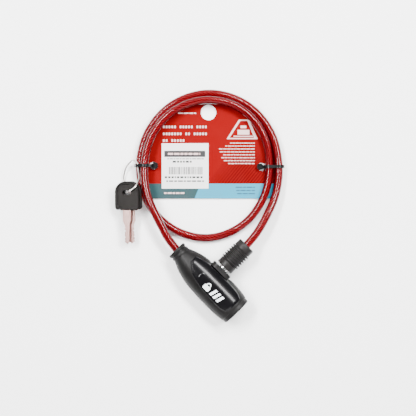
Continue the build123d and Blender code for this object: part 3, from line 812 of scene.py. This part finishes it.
@dataclass
class EndFittings:
    """The turned gland collar and end cap, and the ribbed sleeve on the pin."""

    collar: tuple[tuple[float, float], ...] = (
        (0.0, 3.4), (0.0, 7.3), (0.25, 7.8), (0.6, 7.95), (2.0, 7.95), (2.35, 7.75), (2.5, 7.2),
        (3.6, 7.1), (3.8, 7.5), (4.1, 7.7), (6.0, 7.75), (6.5, 7.3), (6.5, 3.4), (0.0, 3.4))
    sleeve_from: float = 17.5
    sleeve_length: float = 25.3
    band: float = 5.6
    end_band: float = 6.0
    neck_radius: float = 6.7
    band_radius: float = 7.5
    rib_radius: float = 8.3
    bore_radius: float = 3.3
    rib_count: int = 6

    def sleeve_profile(self) -> list[tuple[float, float]]:
        """The sleeve's profile: a band, rounded ribs, and a band with a soft shoulder."""
        start, end = self.sleeve_from, self.sleeve_from + self.sleeve_length
        neck, band, rib = self.neck_radius, self.band_radius, self.rib_radius
        rows = [(start, 4.2), (start, 6.9), (start + 0.25, 7.35), (start + 0.6, band),
                (start + self.band - 0.4, band), (start + self.band - 0.1, 7.2), (start + self.band, neck)]
        pitch = (self.sleeve_length - self.band - self.end_band) / self.rib_count
        for number in range(self.rib_count):
            low = start + self.band + number * pitch
            rows += [(low + share * pitch, radius) for share, radius in (
                (0.14, 7.0), (0.20, 7.9), (0.34, rib), (0.66, rib), (0.80, 7.9), (0.86, 7.0))]
        last = end - self.end_band
        rows += [(last, neck), (last + 0.1, 7.2), (last + 0.4, band), (end - 0.8, band), (end - 0.3, 7.3),
                 (end, 6.8), (end, self.bore_radius),
                 (start + 20.0, self.bore_radius), (start + 20.0, 5.1), (start + 3.0, 5.1),
                 (start + 3.0, 4.2), (start, 4.2)]
        return rows

    def across(self, points: Array) -> Array:
        """Puts a turned shape on the pin's axis, which crosses the lock's."""
        return from_lock(np.stack([PIN_AT + points[..., 1], points[..., 0], points[..., 2]], -1))

    def build(self, paints: Paintbox) -> bpy.types.Object:
        """Makes and dresses the turned pieces, and returns the sleeve."""
        collar = turned("gland_collar_ring", self.collar, from_lock)
        sleeve = turned("ribbed_sleeve", self.sleeve_profile(), self.across)
        for piece, finish, slot, body, node in (
                (collar, "grained_black_side", "side_plastic", ROOT, "gland_collar"),
                (sleeve, "charcoal_sleeve", "sleeve_plastic", "connector", "connector_sleeve")):
            recalculate(piece)
            bevelled(piece, 0.12)
            paints.dress(piece, finish)
            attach(piece, body)
            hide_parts(node)
            LOG.info("turned piece %s", piece.name)
        return sleeve


# ---------------------------------------------------------------- card print
@dataclass
class Print:
    """Flat printed shapes on the card and the sticker, all generic bars and blocks."""

    lift: float = 0.02
    ink: float = 0.03
    sticker: float = 0.12
    letter: float = 1.35
    letter_pitch: float = 2.25

    def block(self, name: str, quads: list[Quad], height: float) -> bpy.types.Object:
        """Thin flat four-cornered shapes as one piece.

        Args:
            name: the piece's name.
            quads: each shape's corners in mm about the coil's centre.
            height: the surface they lie on, in metres.
        Returns:
            The piece, as thick as the ink.
        """
        corners = np.array(quads, float)
        flat = np.full((*corners.shape[:2], 1), height + self.lift * MM)
        points = COIL + np.concatenate([corners * MM, flat], -1)
        piece = new_piece(name, points, np.arange(4 * len(quads)).reshape(-1, 4), False)
        recalculate(piece)
        walled(piece, self.ink, 0.0)
        return piece

    @staticmethod
    def bar(x0: float, y0: float, x1: float, y1: float) -> Quad:
        """A rectangle's corners."""
        return [(x0, y0), (x1, y0), (x1, y1), (x0, y1)]

    def line(self, x0: float, x1: float, y: float, height: float, word: float, seed: int) -> list[Quad]:
        """A line of print as a row of word-long blocks with gaps.

        Args:
            x0: where it starts, in mm.
            x1: where it ends.
            y: its middle.
            height: the blocks' height.
            word: a usual word's length.
            seed: makes each line's lengths its own.
        Returns:
            The blocks.
        """
        rng = np.random.default_rng(seed)
        blocks, x = [], x0
        while x < x1 - 0.6:
            reach = min(x + word * rng.uniform(0.5, 1.3), x1)
            blocks.append(self.bar(x, y - height / 2, reach, y + height / 2))
            x = reach + 0.35 * height + 0.25
        return blocks

    def title(self) -> list[Quad]:
        """Three lines of heavy print, each word a row of letter-wide blocks."""
        words = ((31.6, -37.4, 5), (31.6, -23.9, 5), (31.6, -10.4, 4), (26.0, -37.4, 7), (26.0, -19.4, 2),
                 (26.0, -12.6, 5), (20.6, -37.4, 2), (20.6, -30.6, 5))
        return [self.bar(start + self.letter_pitch * n, y - 0.95,
                         start + self.letter_pitch * n + self.letter, y + 0.95)
                for y, start, count in words for n in range(count)]

    def emblem(self) -> list[Quad]:
        """A four-sided outline with three stacked bars inside it."""
        outer = [(13.8, 21.8), (23.6, 37.4), (31.8, 37.4), (38.8, 21.8)]
        inner = [(16.0, 22.7), (24.8, 36.4), (30.4, 36.4), (36.0, 22.7)]
        sides = [[outer[n], inner[n], inner[(n + 1) % 4], outer[(n + 1) % 4]] for n in range(4)]
        return sides + [self.bar(22.6, 25.4, 32.0, 29.2), self.bar(25.0, 30.6, 29.6, 32.6),
                        self.bar(19.4, 23.7, 35.0, 24.4)]

    def small_print(self) -> list[Quad]:
        """Eight fine lines that end together at the right."""
        lengths = (17.0, 21.0, 26.0, 25.2, 22.6, 24.0, 22.0, 18.6)
        blocks = []
        for number, length in enumerate(lengths):
            blocks += self.line(33.6 - length, 36.4, 18.6 - 2.35 * number, 0.7, 2.4, 11 + number)
        return blocks

    def barcode(self) -> list[Quad]:
        """A row of upright bars whose widths and gaps are drawn from three sizes each."""
        rng = np.random.default_rng(4)
        bars, x = [], -32.6
        while x < -5.6:
            width = float(rng.choice([0.28, 0.45, 0.7]))
            bars.append(self.bar(x, -6.6, x + width, -0.6))
            x += width + float(rng.choice([0.3, 0.42, 0.62]))
        return bars

    def build(self, paints: Paintbox) -> None:
        """Makes every printed piece."""
        low_line = self.line(-36.4, -19.6, -21.6, 1.3, 2.6, 8)
        navy = []
        for number in range(3):
            navy += self.line(21.0 + 0.6 * number, 36.6, -17.0 - 2.5 * number, 0.95, 4.4, 31 + number)
        black = [self.bar(-36.4, 7.4, -3.4, 12.4), *self.barcode()]
        for row in ((-29.6, -13.0, 3.6, 1.5, 2.2, 51), (-36.0, -5.0, -8.9, 1.5, 2.0, 52),
                    (-34.8, -4.4, -12.0, 1.1, 3.2, 53), (-34.0, -4.6, 5.9, 0.7, 2.6, 54)):
            black += self.line(*row)
        sticker_top = CARD_TOP + self.sticker * MM
        for name, quads, height, finish, slot in (
                ("card_print_white", self.title() + self.small_print() + self.emblem() + low_line, CARD_TOP,
                 "print_white", "printed_card"),
                ("card_print_code", self.line(-25.2, -10.8, 42.6, 1.0, 3.4, 5), CARD_TOP,
                 "print_white", "printed_card"),
                ("card_print_navy", navy, CARD_TOP, "print_navy", "printed_card"),
                ("sticker_print", black, sticker_top, "print_black", "sticker_paper"),
                ("sticker_bar_print", self.line(-33.4, -7.4, 9.9, 1.5, 3.6, 55), sticker_top + self.ink * MM,
                 "print_white", "sticker_paper")):
            piece = self.block(name, quads, height)
            paints.dress(piece, finish)
            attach(piece, ROOT)
            LOG.info("print piece %s", name)


@dataclass
class KeyRim:
    """The raised line that runs inside the edge of the front key's moulded head.

    The key lies on the ring at its hole, rolled and pitched in degrees; the rest is in its own mm.
    """

    hole: tuple[float, float, float] = (-64.0, -21.0, 10.0)
    roll: float = 16.0
    pitch: float = 4.0
    turn: float = -1.0
    lift: tuple[float, float, float] = (-0.8, 0.0, 3.35)
    half_width: float = 7.6
    top: float = 6.6
    bottom: float = -12.0
    face: float = 1.5
    line_radius: float = 0.42

    @staticmethod
    def spin(axis: str, degrees: float) -> Array:
        """The matrix of a turn about one axis."""
        return np.array(Matrix.Rotation(np.radians(degrees), 3, axis))

    def placed(self, points: Array) -> Array:
        """Points in the key's own millimetres where the front key lies, in metres."""
        tilt = self.spin("Y", -self.roll) @ self.spin("X", self.pitch)
        own = points @ self.spin("Z", self.turn).T + np.array(self.lift)
        return COIL + (np.array(self.hole) + own @ tilt.T) * MM

    def build(self, paints: Paintbox) -> None:
        """Makes the rim: part of a fifth power curve's outline, half sunk in the head's face."""
        turn = np.linspace(np.radians(62), np.radians(244), 90)
        c, s = np.cos(turn), np.sin(turn)
        reach = (np.abs(c) ** 5 + np.abs(s) ** 5) ** (-1 / 5)
        middle, half = (self.top + self.bottom) / 2, (self.top - self.bottom) / 2
        flat = np.full(len(turn), self.face)
        path = np.stack([self.half_width * reach * c, middle + half * reach * s, flat], -1)
        rim = new_piece("key_head_rim", *rod(self.placed(path), self.line_radius * MM, 12))
        paints.dress(rim, "key_head_black")
        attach(rim, "front_key")
        LOG.info("key rim built")


NODE_FINISHES = {
    "housing_screws": "plated_steel", "cable_stop_ferrule": "dull_zinc", "port_collar": "grained_black_side",
    "end_cap": "matte_black_cap", "lock_core": "dull_zinc", "hang_card": "printed_card",
    "price_sticker": "sticker_paper", "cable_tie_left": "black_nylon", "cable_tie_right": "black_nylon",
    "barrel_plug": "cylinder_brass", "wafers": "cylinder_brass", "wafer_springs": "plated_steel",
    "lock_cam": "dull_zinc", "cam_screw": "plated_steel", "locking_bolt": "plated_steel",
    "shackle_pin": "plated_steel", "pin_crimp": "dull_zinc", "key_ring": "ring_wire",
    "key_front_blade": "key_nickel", "key_rear_blade": "key_nickel",
    "key_front_head": "key_head_black", "key_rear_head": "key_head_black",
}


@dataclass
class Studio:
    """The pale floor, the soft lights and the camera that looks straight down."""

    view_width: float = 0.3328
    distance: float = 1.25
    sensor: float = 36.0
    centre: tuple[float, float] = (-1.2, -33.6)
    floor_half: float = 3.0

    @staticmethod
    def aimed(spot: tuple[float, float, float], along: tuple[float, float, float]) -> Euler:
        """The turn that points a light at the origin with its long side along a direction."""
        back = Vector(spot).normalized()
        side = Vector(along)
        side = (side - side.dot(back) * back).normalized()
        return Matrix((side, back.cross(side), back)).transposed().to_euler()

    def build(self) -> None:
        """Makes the stage, which isn't part of the object."""
        scene = bpy.context.scene
        camera_data = bpy.data.cameras.new("camera")
        camera_data.sensor_width = self.sensor
        camera_data.lens = self.sensor * self.distance / self.view_width
        camera = bpy.data.objects.new("camera", camera_data)
        camera.location = at_coil(*self.centre, 8.0) + np.array([0, 0, self.distance])
        scene.collection.objects.link(camera)
        scene.camera = camera
        world = bpy.data.worlds.new("soft_room")
        world.use_nodes = True
        background = world.node_tree.nodes["Background"]
        background.inputs[0].default_value = (1.0, 1.0, 1.0, 1.0)
        background.inputs[1].default_value = 0.4
        scene.world = world
        corners = self.floor_half * np.array([[-1, -1, 0], [1, -1, 0], [1, 1, 0], [-1, 1, 0]])
        floor = new_piece("floor", corners, [[0, 1, 2, 3]], False)
        paint, _, shader = new_material("pale_floor")
        shader.inputs["Base Color"].default_value = (0.97, 0.97, 0.97, 1.0)
        shader.inputs["Roughness"].default_value = 0.9
        floor.data.materials.append(paint)
        for name, spot, along, power, width, height in (
                ("key_box", (0.40, 0.39, 0.93), (0.70, -0.72, 0.0), 38.0, 0.75, 0.21),
                ("left_box", (-0.48, 0.30, 0.95), (0.25, 0.97, 0.0), 32.0, 0.65, 0.22),
                ("low_fill", (0.15, -0.95, 0.85), (1.0, 0.0, 0.0), 9.0, 1.0, 0.5),
                ("high_fill", (-0.2, 1.0, 0.9), (1.0, 0.0, 0.0), 6.0, 1.0, 0.4)):
            data = bpy.data.lights.new(name, "AREA")
            data.shape = "RECTANGLE"
            data.size = width
            data.size_y = height
            data.energy = power
            light = bpy.data.objects.new(name, data)
            light.location = spot
            light.rotation_euler = self.aimed(spot, along)
            scene.collection.objects.link(light)


def main() -> None:
    """Builds the studio, then the end fittings, the cable, the housing, the print and the key's rim."""
    logging.basicConfig(level=logging.INFO, format="%(name)s: %(message)s")
    Studio().build()
    paints = Paintbox()
    Cable().build(paints, EndFittings().build(paints))
    Housing().build(paints)
    Print().build(paints)
    KeyRim().build(paints)
    for node, finish in NODE_FINISHES.items():
        paints.dress(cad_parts[node], finish)
    LOG.info("%d nodes dressed", len(NODE_FINISHES))


if __name__ == "__main__":
    main()
